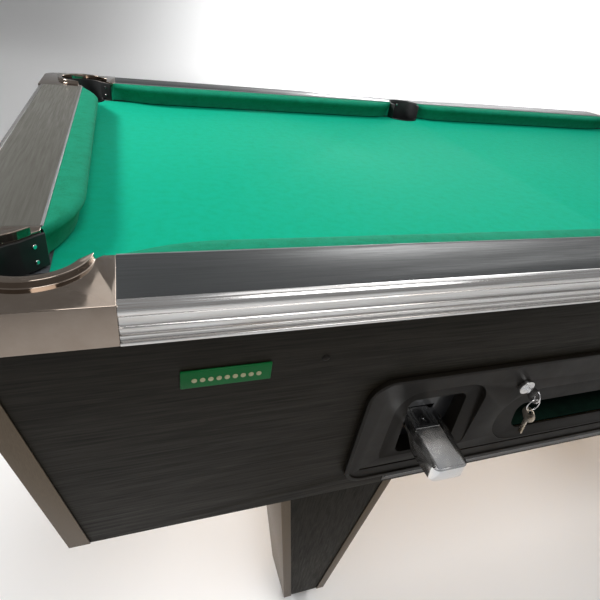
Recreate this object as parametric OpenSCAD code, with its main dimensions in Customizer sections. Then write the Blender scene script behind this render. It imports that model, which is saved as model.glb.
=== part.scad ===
// Coin-operated pub pool table. Millimetres, +Z up, +X along the table, -Y the front.
// Origin: the centre of the playing surface, on top of the bed cloth.

/* [Playing field] */
// Length between the cushion noses
play_l = 1830; // [1500:10:2200]
// Width between the cushion noses
play_w = 915; // [760:5:1100]
// Height of the playing surface above the floor
bed_height = 795; // [660:5:960]
// Height of the rail tops above the playing surface
rail_rise = 45; // [42:1:54]
// Depth of a cushion from its nose to the rail
cushion_d = 40; // [36:1:48]
// How far the lower half of a cushion sits behind the nose
undercut = 14; // [8:1:18]

/* [Bed] */
// Thickness of the bed cloth
cloth_t = 1; // [0.6:0.1:1.5]
// Thickness of the slate
slate_t = 19; // [16:1:23]
// How far the slate runs out past the cushion noses
slate_margin = 80; // [70:1:82]
// Depth of the timber beams under the slate
beam_h = 30; // [24:1:36]
// Width of the timber beams under the slate
beam_w = 20; // [16:1:24]

/* [Rails] */
// Width of the laminated rail tops
rail_w = 87; // [74:1:104]
// Height of the rails and their trims
rail_h = 46; // [44:1:50]
// Thickness of the aluminium trims
trim_t = 11; // [10:1:14]
// Length of each arm of a corner casting
corner_arm = 176; // [170:2:210]
// Outer radius of a corner casting
corner_r = 34; // [20:2:45]
// Wall of a corner casting
casting_t = 5; // [4:0.5:6]
// Height of the raised lip around a corner pocket
lip_h = 8; // [3:0.5:9]
// Width of the raised lip around a corner pocket
lip_w = 10; // [5:1:12]

/* [Pockets] */
// Inner radius of a pocket liner
pocket_r = 45; // [38:1:54]
// Half of the throat between the two cheeks of a corner liner
throat = 42; // [36:1:44]
// Wall of a pocket liner
liner_t = 4; // [3:0.5:5]
// Distance from the crossing of the nose lines to a corner pocket
corner_off = 58; // [52:1:62]
// Distance from the nose line to a middle pocket
middle_off = 36; // [32:1:42]
// Radius of the cushion jaws at the corner pockets
corner_jaw_r = 215; // [160:5:240]
// Radius of the cushion jaws at the middle pockets
middle_jaw_r = 96; // [80:2:110]

/* [Cabinet] */
// Height of the cabinet below the rails
cabinet_h = 367; // [350:5:440]
// Inward slope of the two long sides, in degrees
side_slope = 5.14; // [3:0.1:6]
// Inward slope of the two ends, in degrees
end_slope = 9.3; // [6:0.1:12]
// Thickness of the cabinet panels
panel_t = 22; // [18:1:23]
// Overhang of the rail edge past the long sides
side_overhang = 14.5; // [12:0.5:20]
// Overhang of the rail edge past the ends
end_overhang = 25; // [15:1:27]
// Thickness of the cabinet floor
floor_t = 12; // [9:1:18]
// Flange width of the aluminium corner angles
strip_w = 25; // [20:1:35]
// Thickness of the corner angles and the leg cladding
strip_t = 2; // [1.5:0.5:3]

/* [Legs] */
// Distance of a leg's middle from the table's middle, along the table
leg_x = 570; // [500:5:700]
// Width of a leg at the top, along the table
leg_w = 195; // [160:5:235]
// Depth of a leg at the top, across the table
leg_d = 160; // [130:5:195]
// Set-back of a leg behind the bottom edge of the cabinet side
leg_setback = 8; // [5:1:20]
// Narrowing of a leg on each side, per unit of height
leg_taper = 0.14; // [0.1:0.01:0.15]
// Narrowing of a leg front and back, per unit of height
leg_taper_y = 0.09; // [0.05:0.01:0.1]
// Width of the cladding flanges on the front and back of a leg
cladding_flange = 14; // [10:1:18]
// Radius of a levelling foot
foot_r = 28; // [20:1:34]
// Radius of a levelling foot's stem
stem_r = 6; // [5:0.5:8]
// Travel of a levelling foot
foot_travel = 15; // [10:1:17]

/* [Front door] */
// Width of the moulded front door
door_w = 1158; // [1100:2:1200]
// Height of the moulded front door
door_h = 224; // [220:1:226]
// Distance of the door's top below the top of the cabinet
door_drop = 115; // [110:1:117]
// Corner radius of the door
door_r = 36; // [25:1:60]
// Thickness of the door moulding
door_t = 4; // [3:0.5:5]
// Overlap of the door on the panel around its opening
door_lap = 9; // [7:1:10]
// Width of the raised bead along the door's edge
border_w = 6; // [4:1:8]
// Height of the raised bead along the door's edge
border_h = 2.5; // [1:0.5:3]
// Distance of the edge of the coin scoop from the coin opening
scoop_out = 28; // [24:1:30]
// Depth of the coin scoop at its top
scoop_d = 7; // [4:0.5:9]
// Radius of the knuckles of the door hinge
knuckle_r = 4; // [3.5:0.5:4.5]

/* [Ball return] */
// Length of the scoop around the ball slot
recess_l = 656; // [600:4:680]
// Height of the scoop around the ball slot
recess_h = 125; // [120:1:128]
// Depth of the scoop around the ball slot at its top
recess_d = 14; // [10:1:16]
// Length of the ball slot
slot_l = 560; // [480:10:570]
// Height of the ball slot
slot_h = 54; // [54:1:60]
// Inner width of the ball runways
runway_w = 60; // [54:1:62]

/* [Coin mechanism] */
// Position of the middle of the coin opening along the front
mech_x = -452; // [-460:1:-448]
// Width of the coin opening
mech_w = 98; // [94:1:104]
// Height of the coin opening
mech_h = 110; // [100:1:112]
// Depth of the recess in front of the coin mechanism
mech_recess = 25; // [22:1:28]
// Position of the middle of the coin slide along the front
slide_x = -468; // [-469:1:-466]
// Half of the width of the slide
slide_half = 31; // [28:0.5:31]
// Half of the width of the raised plate on the slide
plate_half = 20; // [17:0.5:22]
// Length of the slide in front of the door
slide_out = 84; // [78:1:95]
// Thickness of the slide inside the door
slide_t = 8; // [7:0.5:10]
// Thickness of the slide's outer end, which is pushed
grip_t = 25; // [20:1:28]
// Travel of the slide when it is pushed in
slide_travel = 55; // [40:1:58]

/* [Lock] */
// Position of the lock along the front
lock_x = -310; // [-316:1:-290]
// Radius of the lock plug
plug_r = 6; // [5.5:0.5:7]
// Radius of a key's bow
bow_r = 12; // [10:0.5:13]
// Radius of the hole in a key's bow
bow_hole = 3.5; // [3:0.5:4]
// Radius of the split ring
ring_r = 11; // [11:0.5:13]

/* [Fits] */
// Gap between neighbouring pieces that are put together
fit = 0.3; // [0.2:0.05:0.5]
// Radial clearance of pins and shafts
run = 0.05; // [0.02:0.01:0.1]

/* [Hidden] */
$fn = 64;
eps = 0.01;

// Playing field and rails
half_l = play_l / 2;
half_w = play_w / 2;
rail_in_x = half_l + cushion_d;
rail_in_y = half_w + cushion_d;
rail_out_x = rail_in_x + rail_w;
rail_out_y = rail_in_y + rail_w;
edge_x = rail_out_x + trim_t;
edge_y = rail_out_y + trim_t;
rail_top = rail_rise;
rail_bot = rail_rise - rail_h;
rail_end_x = edge_x - corner_arm;
rail_end_y = edge_y - corner_arm;
slate_bot = -cloth_t - slate_t;
nose_top = rail_top - 4;
nose_bot = 26;
cushion_bot = 2.3;
cloth_margin = cushion_d - 4;

// Pockets: the middle of the corner pocket at +X +Y, and of the middle pocket at +Y
pocket_x = half_l + corner_off / sqrt(2);
pocket_y = half_w + corner_off / sqrt(2);
mid_y = half_w + middle_off;
mid_throat = pocket_r - 1;
liner_top = rail_top - 3;
liner_bot = slate_bot - 20;
cheek_start = 8;
cheek_bot = 2.3;
chute_r = pocket_r + liner_t + 1;
chute_t = 3;
chute_bot = slate_bot - 32;
corner_jaw_rise = 40;
corner_jaw_run = sqrt(2 * corner_jaw_r * corner_jaw_rise - pow(corner_jaw_rise, 2));
corner_jaw_gap = 32;
middle_jaw_run = sqrt(2 * middle_jaw_r * cushion_d - pow(cushion_d, 2));

// Cabinet
cab_top = rail_bot;
cab_bot = cab_top - cabinet_h;
function cab_x(z) = edge_x - end_overhang - (cab_top - z) * tan(end_slope);
function cab_y(z) = edge_y - side_overhang - (cab_top - z) * tan(side_slope);
floor_z = -bed_height;
foot_h = 12;
foot_gap = 18;
leg_bot = floor_z + foot_h + foot_gap;
leg_h = cab_bot - leg_bot;
leg_y = cab_y(cab_bot) - leg_setback - leg_d / 2;
stem_l = 45;

// Front door, in the frame of the front panel: x along, y inward, z up from its top edge
door_top = -door_drop;
door_bot = door_top - door_h;
door_back = -0.5;
door_face = door_back - door_t;
hinge_y = door_back - door_t / 2;
hinge_z = door_bot - knuckle_r - 0.6;
pin_r = 1.8;
knuckle_l = 50;
knuckle_n = 20;
hinge_half = knuckle_n * knuckle_l / 2;
leaf_t = 1.2;
open_w = door_w - 2 * door_lap;
open_h = door_h - 2 * door_lap;
open_z = door_top - door_h / 2;
slot_z = door_bot + 84.5;
recess_z = door_bot + 96.5;
wall_t = 3;
groove_x = door_w / 2 - 26;
groove_z = door_bot + 26;
groove_w = 4;
groove_d = 1.6;

// The scoops' floors leave the door's face just below each outline
recess_floor_z = recess_z - recess_h / 2 - 2;
recess_lean = atan((recess_d - door_face) / (recess_h + 2));

// Coin mechanism, in the same frame
mech_z = door_bot + 111;
coin_floor_z = mech_z - mech_h / 2 - 9;
coin_lean = atan((scoop_d - door_face) / (mech_h + scoop_out + 9));
box_y0 = mech_recess;
box_y1 = mech_recess + 100;
box_x0 = mech_x - mech_w / 2 - 8;
box_x1 = mech_x + mech_w / 2 + 8;
box_z0 = mech_z - mech_h / 2 - 16;
box_z1 = mech_z + mech_h / 2 - 6;
box_t = 1.5;
slide_top = door_bot + 123;
slide_z = slide_top - slide_t / 2;
slide_tail = box_y1 - box_t - slide_travel - 3;
drive_pin_r = 3;
drive_pin_y = slide_tail - 8;
lever_x = slide_x + slide_half + 4.5;
lever_t = 4;
lever_arm = 64;
lever_y = drive_pin_y + slide_travel / 2;
lever_z = slide_z - lever_arm;
lever_rest = atan(slide_travel / 2 / lever_arm);
lever_pin_r = 4;

// Lock
lock_z = door_bot + 175;
barrel_r = plug_r + 3.5;
cam_y = panel_t + 2;
cam_t = 2.5;
cam_l = door_top - door_lap - lock_z + 10;
key_t = 2;
key_h = 7;
plug_face = door_face - 7;
bow_y = plug_face - 3 - bow_r;
hole_y = bow_y - 6;
ring_wire = 0.9;
ring_drop = bow_hole - ring_wire - 0.3;
hang_z = lock_z - ring_drop;

// Ball return
ramp_w = runway_w / 2 + wall_t;
runway_h = 22;
front_low = slate_bot - 103;
front_high = slate_bot - 75;
back_low = slate_bot - 73;
back_high = slate_bot - 58;
cross_high = back_low - 4;
cross_low = front_low + 6;
hole_w = runway_w;
flap_t = 3;
flap_pin_r = 2;

// ---- Helpers ----

// A block whose plan rectangle [x0, y0, x1, y1] changes from z0 to z1
module taper_block(z0, low, z1, high) {
    polyhedron(
        points = [
            [low[0], low[1], z0], [low[2], low[1], z0], [low[2], low[3], z0], [low[0], low[3], z0],
            [high[0], high[1], z1], [high[2], high[1], z1], [high[2], high[3], z1], [high[0], high[3], z1]
        ],
        faces = [[0, 1, 2, 3], [4, 5, 1, 0], [7, 6, 5, 4], [5, 6, 2, 1], [6, 7, 3, 2], [7, 4, 0, 3]]
    );
}

// Children made for the +X +Y corner, put at another corner
module at_corner(sx, sy) {
    if (sx < 0 && sy < 0) rotate([0, 0, 180]) children();
    else if (sx < 0) mirror([1, 0, 0]) children();
    else if (sy < 0) mirror([0, 1, 0]) children();
    else children();
}

// The frame of the front panel
module on_front() {
    translate([0, -cab_y(cab_top), cab_top]) rotate([side_slope, 0, 0]) children();
}

// An outline in x and z, made solid from y0 to y1
module plate_y(y0, y1) {
    translate([0, y1, 0]) rotate([90, 0, 0]) linear_extrude(y1 - y0) children();
}

// A rod along y
module rod_y(x, z, y0, y1, r) {
    translate([x, y0, z]) rotate([-90, 0, 0]) cylinder(h = y1 - y0, r = r);
}

// A rod along x
module rod_x(y, z, x0, x1, r) {
    translate([x0, y, z]) rotate([0, 90, 0]) cylinder(h = x1 - x0, r = r);
}

// A centred rectangle with true round corners
module round_rect(w, h, r) {
    square([w - 2 * r, h], center = true);
    square([w, h - 2 * r], center = true);
    for (x = [-1, 1], y = [-1, 1]) translate([x * (w / 2 - r), y * (h / 2 - r)]) circle(r);
}

// A plan square from two opposite corners
module span2(x0, y0, x1, y1) {
    translate([x0, y0]) square([x1 - x0, y1 - y0]);
}

// A box from two opposite corners
module span3(a, b) {
    translate(a) cube(b - a);
}

// ---- Pocket outlines, at the +X +Y corner and the +Y middle ----

module corner_hole(r) {
    translate([pocket_x, pocket_y]) circle(r);
}

module corner_throat(half, start) {
    translate([half_l, half_w]) rotate(45) span2(start, -half, corner_off, half);
}

module middle_hole(r) {
    translate([0, mid_y]) circle(r);
}

module middle_throat(half, start) {
    span2(-half, start, half, mid_y);
}

// What a rail, casting or cushion leaves free for the six liners, in all four quadrants
module liner_room(gap) {
    for (sx = [-1, 1], sy = [-1, 1]) at_corner(sx, sy) {
        corner_hole(pocket_r + liner_t + gap);
        corner_throat(throat + liner_t + gap, -30);
    }
    for (sy = [-1, 1]) at_corner(1, sy) {
        middle_hole(pocket_r + liner_t + gap);
        middle_throat(mid_throat + liner_t + gap, half_w - 5);
    }
}

// What the slate and its cloth leave free
module falls() {
    room = pocket_r + liner_t + fit;
    notch = room - 2;
    for (sx = [-1, 1], sy = [-1, 1]) at_corner(sx, sy) {
        corner_hole(room);
        translate([pocket_x, pocket_y]) rotate(45) span2(0, -notch, room * 2.5, notch);
    }
    for (sy = [-1, 1]) at_corner(1, sy) {
        middle_hole(room);
        span2(-notch, mid_y, notch, edge_y);
    }
}

// ---- Bed ----

module slate_bed() {
    color("dimgray")
    translate([0, 0, slate_bot])
    linear_extrude(slate_t)
    difference() {
        square([play_l + 2 * slate_margin, play_w + 2 * slate_margin], center = true);
        falls();
    }
}

module bed_cloth() {
    color("mediumseagreen")
    translate([0, 0, -cloth_t])
    linear_extrude(cloth_t)
    difference() {
        square([play_l + 2 * cloth_margin, play_w + 2 * cloth_margin], center = true);
        falls();
    }
}

// Battens between the ball chutes: two runs along each side, one across each end and four between
module slate_frame() {
    room = chute_r + chute_t + 1;
    side_y = half_w + slate_margin - beam_w + 8;
    end_x = half_l + slate_margin - beam_w - 5;
    color("burlywood")
    translate([0, 0, slate_bot - beam_h])
    linear_extrude(beam_h) {
        for (sx = [-1, 1], sy = [-1, 1]) at_corner(sx, sy) {
            span2(room, side_y, pocket_x - room, side_y + beam_w);
        }
        for (sx = [-1, 1]) at_corner(sx, 1) {
            span2(end_x, room - pocket_y, end_x + beam_w, pocket_y - room);
        }
        for (x = [-0.7, -0.28, 0.28, 0.7]) translate([x * half_l, 0]) {
            square([beam_w, 2 * (side_y - fit)], center = true);
        }
    }
}

// ---- Rails ----

module side_rail() {
    color([0.24, 0.24, 0.23])
    translate([0, 0, rail_bot])
    linear_extrude(rail_h)
    difference() {
        span2(-rail_end_x, rail_in_y, rail_end_x, rail_out_y);
        liner_room(fit);
    }
}

module end_rail() {
    color([0.24, 0.24, 0.23])
    translate([0, 0, rail_bot])
    linear_extrude(rail_h)
    span2(rail_in_x, -rail_end_y, rail_out_x, rail_end_y);
}

module rail_front() { at_corner(1, -1) side_rail(); }
module rail_back() { side_rail(); }
module rail_left() { at_corner(-1, 1) end_rail(); }
module rail_right() { end_rail(); }

// Section of the aluminium trim: x outward from the rail, y up
module trim_section() {
    bull_r = trim_t - 2.5;
    ridge = 2.5;
    web = trim_t - 4;
    pitch = (rail_h - 2 * bull_r - ridge) / 3;
    square([web, rail_h - bull_r]);
    translate([0, rail_h - 2 * bull_r]) square([2.5, 2 * bull_r]);
    intersection() {
        translate([2.5, rail_h - bull_r]) circle(bull_r);
        translate([0, rail_h - 2 * bull_r]) square([trim_t, 2 * bull_r]);
    }
    for (i = [0:2]) translate([web - eps, i * pitch]) square([3 + eps, ridge]);
    translate([web - eps, 0]) square([trim_t - web + eps, ridge + 1]);
}

module side_trims() {
    color("silver")
    for (s = [-1, 1]) at_corner(1, s) {
        translate([-rail_end_x, rail_out_y, rail_bot])
        rotate([90, 0, 90]) linear_extrude(2 * rail_end_x) trim_section();
    }
}

module end_trims() {
    color("silver")
    for (s = [-1, 1]) at_corner(s, 1) {
        translate([rail_out_x, rail_end_y, rail_bot])
        rotate([90, 0, 0]) linear_extrude(2 * rail_end_y) trim_section();
    }
}

// Plan of the corner casting, grown inward from the table's edge by inset
module casting_plan(inset) {
    x1 = edge_x - inset;
    y1 = edge_y - inset;
    r = corner_r - inset;
    intersection() {
        union() {
            span2(rail_end_x, rail_in_y + inset, edge_x, edge_y);
            span2(rail_in_x + inset, rail_end_y, edge_x, edge_y);
        }
        union() {
            span2(0, 0, x1 - r, y1);
            span2(0, 0, x1, y1 - r);
            translate([x1 - r, y1 - r]) circle(r);
        }
    }
}

module corner_casting() {
    room = pocket_r + liner_t + fit;
    color("gainsboro") {
        translate([0, 0, rail_bot])
        linear_extrude(rail_h - casting_t)
        difference() {
            casting_plan(0);
            difference() {
                casting_plan(casting_t);
                corner_hole(room + casting_t);
                corner_throat(throat + liner_t + fit + casting_t, -30);
            }
            liner_room(fit);
        }
        translate([0, 0, rail_top - casting_t])
        linear_extrude(casting_t)
        difference() {
            casting_plan(0);
            liner_room(fit);
        }
        translate([0, 0, rail_top])
        linear_extrude(lip_h)
        intersection() {
            casting_plan(0);
            difference() {
                corner_hole(room + lip_w);
                liner_room(fit);
            }
        }
    }
}

module corner_casting_fl() { at_corner(-1, -1) corner_casting(); }
module corner_casting_fr() { at_corner(1, -1) corner_casting(); }
module corner_casting_bl() { at_corner(-1, 1) corner_casting(); }
module corner_casting_br() { at_corner(1, 1) corner_casting(); }

// ---- Cushions ----

corner_jaw_start = corner_jaw_run + corner_jaw_gap;

// Plan of the cushion at +Y, from the middle pocket to the corner pocket at +X
module side_cushion_plan(back) {
    jaw_x = half_l - corner_jaw_start;
    mid_x = middle_jaw_run + pocket_r + liner_t;
    difference() {
        intersection() {
            span2(0, half_w + back, half_l + cushion_d, rail_in_y);
            translate([0, back]) union() {
                span2(mid_x, half_w, jaw_x, rail_in_y);
                translate([jaw_x, half_w + corner_jaw_r]) circle(corner_jaw_r, $fn = 128);
                translate([mid_x, half_w + middle_jaw_r]) circle(middle_jaw_r, $fn = 128);
            }
        }
        liner_room(fit);
    }
}

// Plan of the cushion at +X
module end_cushion_plan(back) {
    jaw_y = half_w - corner_jaw_start;
    difference() {
        intersection() {
            span2(half_l + back, -rail_in_y, rail_in_x, rail_in_y);
            translate([back, 0]) union() {
                span2(half_l, -jaw_y, rail_in_x, jaw_y);
                for (s = [-1, 1]) translate([half_l + corner_jaw_r, s * jaw_y]) {
                    circle(corner_jaw_r, $fn = 128);
                }
            }
        }
        liner_room(fit);
    }
}

module side_cushion() {
    color("seagreen") {
        translate([0, 0, nose_bot]) linear_extrude(nose_top - nose_bot) side_cushion_plan(0);
        translate([0, 0, cushion_bot]) {
            linear_extrude(nose_bot - cushion_bot) side_cushion_plan(undercut);
        }
    }
}

module end_cushion() {
    color("seagreen") {
        translate([0, 0, nose_bot]) linear_extrude(nose_top - nose_bot) end_cushion_plan(0);
        translate([0, 0, cushion_bot]) {
            linear_extrude(nose_bot - cushion_bot) end_cushion_plan(undercut);
        }
    }
}

module cushion_front_left() { at_corner(-1, -1) side_cushion(); }
module cushion_front_right() { at_corner(1, -1) side_cushion(); }
module cushion_back_left() { at_corner(-1, 1) side_cushion(); }
module cushion_back_right() { at_corner(1, 1) side_cushion(); }
module cushion_left() { at_corner(-1, 1) end_cushion(); }
module cushion_right() { end_cushion(); }

// ---- Pocket liners ----

screw_zs = [liner_top - 11, 12];
screw_r = 2.8;
screw_h = 1.6;

// The ring under a liner's cheeks, half as thick where it passes the edge of the cloth
module liner_ring() {
    translate([0, 0, liner_bot]) linear_extrude(-cloth_t - liner_bot) difference() {
        children(0);
        children(2);
    }
    translate([0, 0, -cloth_t]) linear_extrude(cheek_bot + cloth_t) difference() {
        children(1);
        children(2);
    }
}

module corner_liner() {
    translate([0, 0, cheek_bot]) linear_extrude(liner_top - cheek_bot) difference() {
        union() {
            corner_hole(pocket_r + liner_t);
            corner_throat(throat + liner_t, cheek_start);
        }
        corner_hole(pocket_r);
        corner_throat(throat, -30);
    }
    liner_ring() {
        corner_hole(pocket_r + liner_t);
        corner_hole(pocket_r + liner_t / 2);
        corner_hole(pocket_r);
    }
}

module corner_liners() {
    color([0.09, 0.09, 0.09])
    for (sx = [-1, 1], sy = [-1, 1]) at_corner(sx, sy) corner_liner();
}

module middle_liner() {
    translate([0, 0, cheek_bot]) linear_extrude(liner_top - cheek_bot) difference() {
        union() {
            middle_hole(pocket_r + liner_t);
            middle_throat(mid_throat + liner_t, rail_in_y - 14);
        }
        middle_hole(pocket_r);
        middle_throat(mid_throat, half_w - liner_t - 20);
    }
    liner_ring() {
        middle_hole(pocket_r + liner_t);
        middle_hole(pocket_r + liner_t / 2);
        middle_hole(pocket_r);
    }
}

module middle_liners() {
    color([0.09, 0.09, 0.09])
    for (sy = [-1, 1]) at_corner(1, sy) middle_liner();
}

// Screw heads on the cheeks of the corner liners and the backs of the middle liners
module liner_screws() {
    color("silver") {
        for (sx = [-1, 1], sy = [-1, 1]) at_corner(sx, sy) {
            for (side = [-1, 1], z = screw_zs) {
                translate([half_l, half_w, z]) rotate([0, 0, 45])
                translate([cheek_start + 16, side * throat, 0])
                rotate([side * 90, 0, 0]) cylinder(h = screw_h, r = screw_r);
            }
        }
        for (sy = [-1, 1]) at_corner(1, sy) {
            translate([0, mid_y + sqrt(pow(pocket_r, 2) - pow(screw_r, 2)), screw_zs[0]]) {
                rotate([90, 0, 0]) cylinder(h = screw_h, r = screw_r);
            }
        }
    }
}

module drop_chutes() {
    color("dimgray")
    translate([0, 0, chute_bot])
    linear_extrude(slate_bot - chute_bot)
    difference() {
        union() {
            for (sx = [-1, 1], sy = [-1, 1]) at_corner(sx, sy) corner_hole(chute_r + chute_t);
            for (sy = [-1, 1]) at_corner(1, sy) middle_hole(chute_r + chute_t);
        }
        for (sx = [-1, 1], sy = [-1, 1]) at_corner(sx, sy) corner_hole(chute_r);
        for (sy = [-1, 1]) at_corner(1, sy) middle_hole(chute_r);
    }
}

// Bolt heads and washers under the slate that pull the rails down
module rail_bolts() {
    bolt_h = 6;
    color("darkgray") {
        for (x = [-0.85, -0.45, -0.15, 0.15, 0.45, 0.85], s = [-1, 1]) {
            translate([x * rail_end_x, s * (half_w + 46), slate_bot - bolt_h]) bolt_head(bolt_h);
        }
        for (y = [-0.7, 0, 0.7], s = [-1, 1]) {
            translate([s * (half_l + 42), y * rail_end_y, slate_bot - bolt_h]) bolt_head(bolt_h);
        }
    }
}

module bolt_head(h) {
    cylinder(h = h - 2, r = 7, $fn = 6);
    translate([0, 0, h - 2]) cylinder(h = 2, r = 10);
}

// ---- Cabinet ----

// Outline of the opening in the front panel
module door_opening() {
    translate([0, open_z]) round_rect(open_w, open_h, door_r - door_lap);
}

// The room that the liners and chutes take up in the panels around them
module chute_room() {
    room = chute_r + chute_t + fit;
    translate([0, 0, chute_bot - fit]) linear_extrude(cab_top - chute_bot + 1) {
        for (sx = [-1, 1], sy = [-1, 1]) at_corner(sx, sy) corner_hole(room);
        for (sy = [-1, 1]) at_corner(1, sy) middle_hole(room);
    }
}

module side_panel() {
    low = [-cab_x(cab_bot), cab_y(cab_bot) - panel_t, cab_x(cab_bot), cab_y(cab_bot)];
    high = [-cab_x(cab_top), cab_y(cab_top) - panel_t, cab_x(cab_top), cab_y(cab_top)];
    difference() {
        taper_block(cab_bot, low, cab_top, high);
        chute_room();
    }
}

module side_panel_front() {
    color([0.15, 0.14, 0.12])
    difference() {
        at_corner(1, -1) side_panel();
        on_front() {
            plate_y(-10, panel_t + 10) door_opening();
            rod_x(hinge_y, hinge_z, -hinge_half - 2, hinge_half + 2, knuckle_r + fit);
        }
    }
}

module side_panel_back() {
    color([0.15, 0.14, 0.12]) side_panel();
}

module end_panel() {
    inner = panel_t + 0.5;
    low = [cab_x(cab_bot) - panel_t, inner - cab_y(cab_bot), cab_x(cab_bot), cab_y(cab_bot) - inner];
    high = [cab_x(cab_top) - panel_t, inner - cab_y(cab_top), cab_x(cab_top), cab_y(cab_top) - inner];
    difference() {
        taper_block(cab_bot, low, cab_top, high);
        chute_room();
    }
}

module end_panel_left() { color([0.15, 0.14, 0.12]) at_corner(-1, 1) end_panel(); }
module end_panel_right() { color([0.15, 0.14, 0.12]) end_panel(); }

module cabinet_floor() {
    inner_x = cab_x(cab_bot) - panel_t - 0.5;
    inner_y = cab_y(cab_bot) - panel_t - 0.5;
    color("burlywood") span3([-inner_x, -inner_y, cab_bot], [inner_x, inner_y, cab_bot + floor_t]);
}

// Aluminium angles over the four slanting corners
module corner_strips() {
    color([0.62, 0.6, 0.56])
    for (sx = [-1, 1], sy = [-1, 1]) at_corner(sx, sy) {
        taper_block(
            cab_bot, strip_rect(cab_bot, -strip_w, 0, strip_t, strip_t),
            cab_top - 1, strip_rect(cab_top - 1, -strip_w, 0, strip_t, strip_t)
        );
        taper_block(
            cab_bot, strip_rect(cab_bot, 0, -strip_w, strip_t, strip_t),
            cab_top - 1, strip_rect(cab_top - 1, 0, -strip_w, strip_t, strip_t)
        );
    }
}

// A plan rectangle given by its offsets from the cabinet corner at height z
function strip_rect(z, x0, y0, x1, y1) = [cab_x(z) + x0, cab_y(z) + y0, cab_x(z) + x1, cab_y(z) + y1];

// ---- Legs ----

// Half of a leg's width and depth at height z, grown by grow
function leg_half_x(z, grow) = leg_w / 2 - (cab_bot - z) * leg_taper + grow;
function leg_half_y(z, grow) = leg_d / 2 - (cab_bot - z) * leg_taper_y + grow;

module leg_block(z0, z1, x0, x1, grow_y, grow_x) {
    taper_block(
        z0, [x0(z0), leg_y - leg_half_y(z0, grow_y), x1(z0) + grow_x, leg_y + leg_half_y(z0, grow_y)],
        z1, [x0(z1), leg_y - leg_half_y(z1, grow_y), x1(z1) + grow_x, leg_y + leg_half_y(z1, grow_y)]
    );
}

module leg() {
    color([0.15, 0.14, 0.12])
    difference() {
        leg_block(
            leg_bot, cab_bot,
            function(z) leg_x - leg_half_x(z, 0), function(z) leg_x + leg_half_x(z, 0), 0, 0
        );
        translate([leg_x, leg_y, leg_bot - 1]) cylinder(h = stem_l + 2, r = stem_r + run);
    }
}

module leg_fl() { at_corner(-1, -1) leg(); }
module leg_fr() { at_corner(1, -1) leg(); }
module leg_bl() { at_corner(-1, 1) leg(); }
module leg_br() { at_corner(1, 1) leg(); }

// The silver cladding on the two side faces of each leg, folded onto its front and back
module leg_cladding() {
    color([0.62, 0.6, 0.56])
    for (sx = [-1, 1], sy = [-1, 1]) at_corner(sx, sy) {
        for (side = [-1, 1]) translate([leg_x, 0, 0]) mirror([side < 0 ? 1 : 0, 0, 0]) {
            difference() {
                leg_block(
                    leg_bot, cab_bot - 0.5,
                    function(z) leg_half_x(z, -cladding_flange), function(z) leg_half_x(z, 0), strip_t, strip_t
                );
                leg_block(
                    leg_bot - 1, cab_bot + 1,
                    function(z) 0, function(z) leg_half_x(z, 0), 0, 0
                );
            }
        }
    }
}

module foot() {
    stem_top = leg_bot + stem_l;
    color("dimgray")
    translate([leg_x, leg_y, floor_z]) {
        cylinder(h = foot_h - 4, r = foot_r);
        translate([0, 0, foot_h - 4]) cylinder(h = 4, r1 = foot_r, r2 = foot_r - 9);
        cylinder(h = stem_top - floor_z, r = stem_r);
        translate([0, 0, foot_h + 1]) cylinder(h = 7, r = 11, $fn = 6);
    }
}

module foot_fl() { at_corner(-1, -1) foot(); }
module foot_fr() { at_corner(1, -1) foot(); }
module foot_bl() { at_corner(-1, 1) foot(); }
module foot_br() { at_corner(1, 1) foot(); }

// ---- Front door ----

// The door's outline, drawn in by inset
module door_outline(inset) {
    translate([0, open_z]) round_rect(door_w - 2 * inset, door_h - 2 * inset, door_r - inset);
}

// A slab in front of or behind a floor that leaves the door's face at z0 and leans back going up
module leaning(z0, lean, y0, y1) {
    translate([0, door_face, z0]) rotate([-lean, 0, 0]) {
        span3([-door_w, y0, -door_h], [door_w, y1, 2 * door_h]);
    }
}

// A scoop with walls and a leaning floor; the children are its outline and its outline with the wall
module scoop(z0, lean, depth) {
    difference() {
        plate_y(door_face, depth + wall_t) children(1);
        intersection() {
            plate_y(door_face - 1, depth + 2 * wall_t) children(0);
            leaning(z0, lean, -door_h, 0);
        }
        leaning(z0, lean, wall_t, door_h);
    }
}

module coin_opening(grow) {
    translate([mech_x, mech_z]) round_rect(mech_w + 2 * grow, mech_h + 2 * grow, 12 + grow);
}

// The coin scoop's outline, cut off where its floor meets the door's face
module coin_scoop_outline(grow) {
    intersection() {
        coin_opening(scoop_out + grow);
        span2(-door_w, coin_floor_z + 2 - grow, 0, 0);
    }
}

module recess_outline(grow) {
    translate([0, recess_z]) round_rect(recess_l + 2 * grow, recess_h + 2 * grow, recess_h / 2 + grow - eps);
}

module slot_outline(grow) {
    translate([0, slot_z]) round_rect(slot_l + 2 * grow, slot_h + 2 * grow, 20 + grow);
}

module front_door() {
    color([0.14, 0.13, 0.12])
    on_front() {
        difference() {
            plate_y(door_face, door_back) difference() {
                door_outline(0);
                coin_scoop_outline(0);
                recess_outline(0);
                translate([lock_x, lock_z]) circle(barrel_r + fit / 2);
            }
            span3([-groove_x, door_face - 1, groove_z], [groove_x, door_face + groove_d, groove_z + groove_w]);
        }
        plate_y(door_face - border_h, door_face) difference() {
            door_outline(0);
            door_outline(border_w);
        }
        difference() {
            scoop(recess_floor_z, recess_lean, recess_d) {
                recess_outline(0);
                recess_outline(wall_t);
            }
            plate_y(-50, 50) slot_outline(0);
        }
        difference() {
            union() {
                scoop(coin_floor_z, coin_lean, scoop_d) {
                    coin_scoop_outline(0);
                    coin_scoop_outline(wall_t);
                }
                difference() {
                    plate_y(door_face, box_y0) coin_opening(wall_t);
                    leaning(coin_floor_z, coin_lean, -door_h, 0);
                }
            }
            plate_y(-50, 50) coin_opening(0);
        }
    }
}

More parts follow.
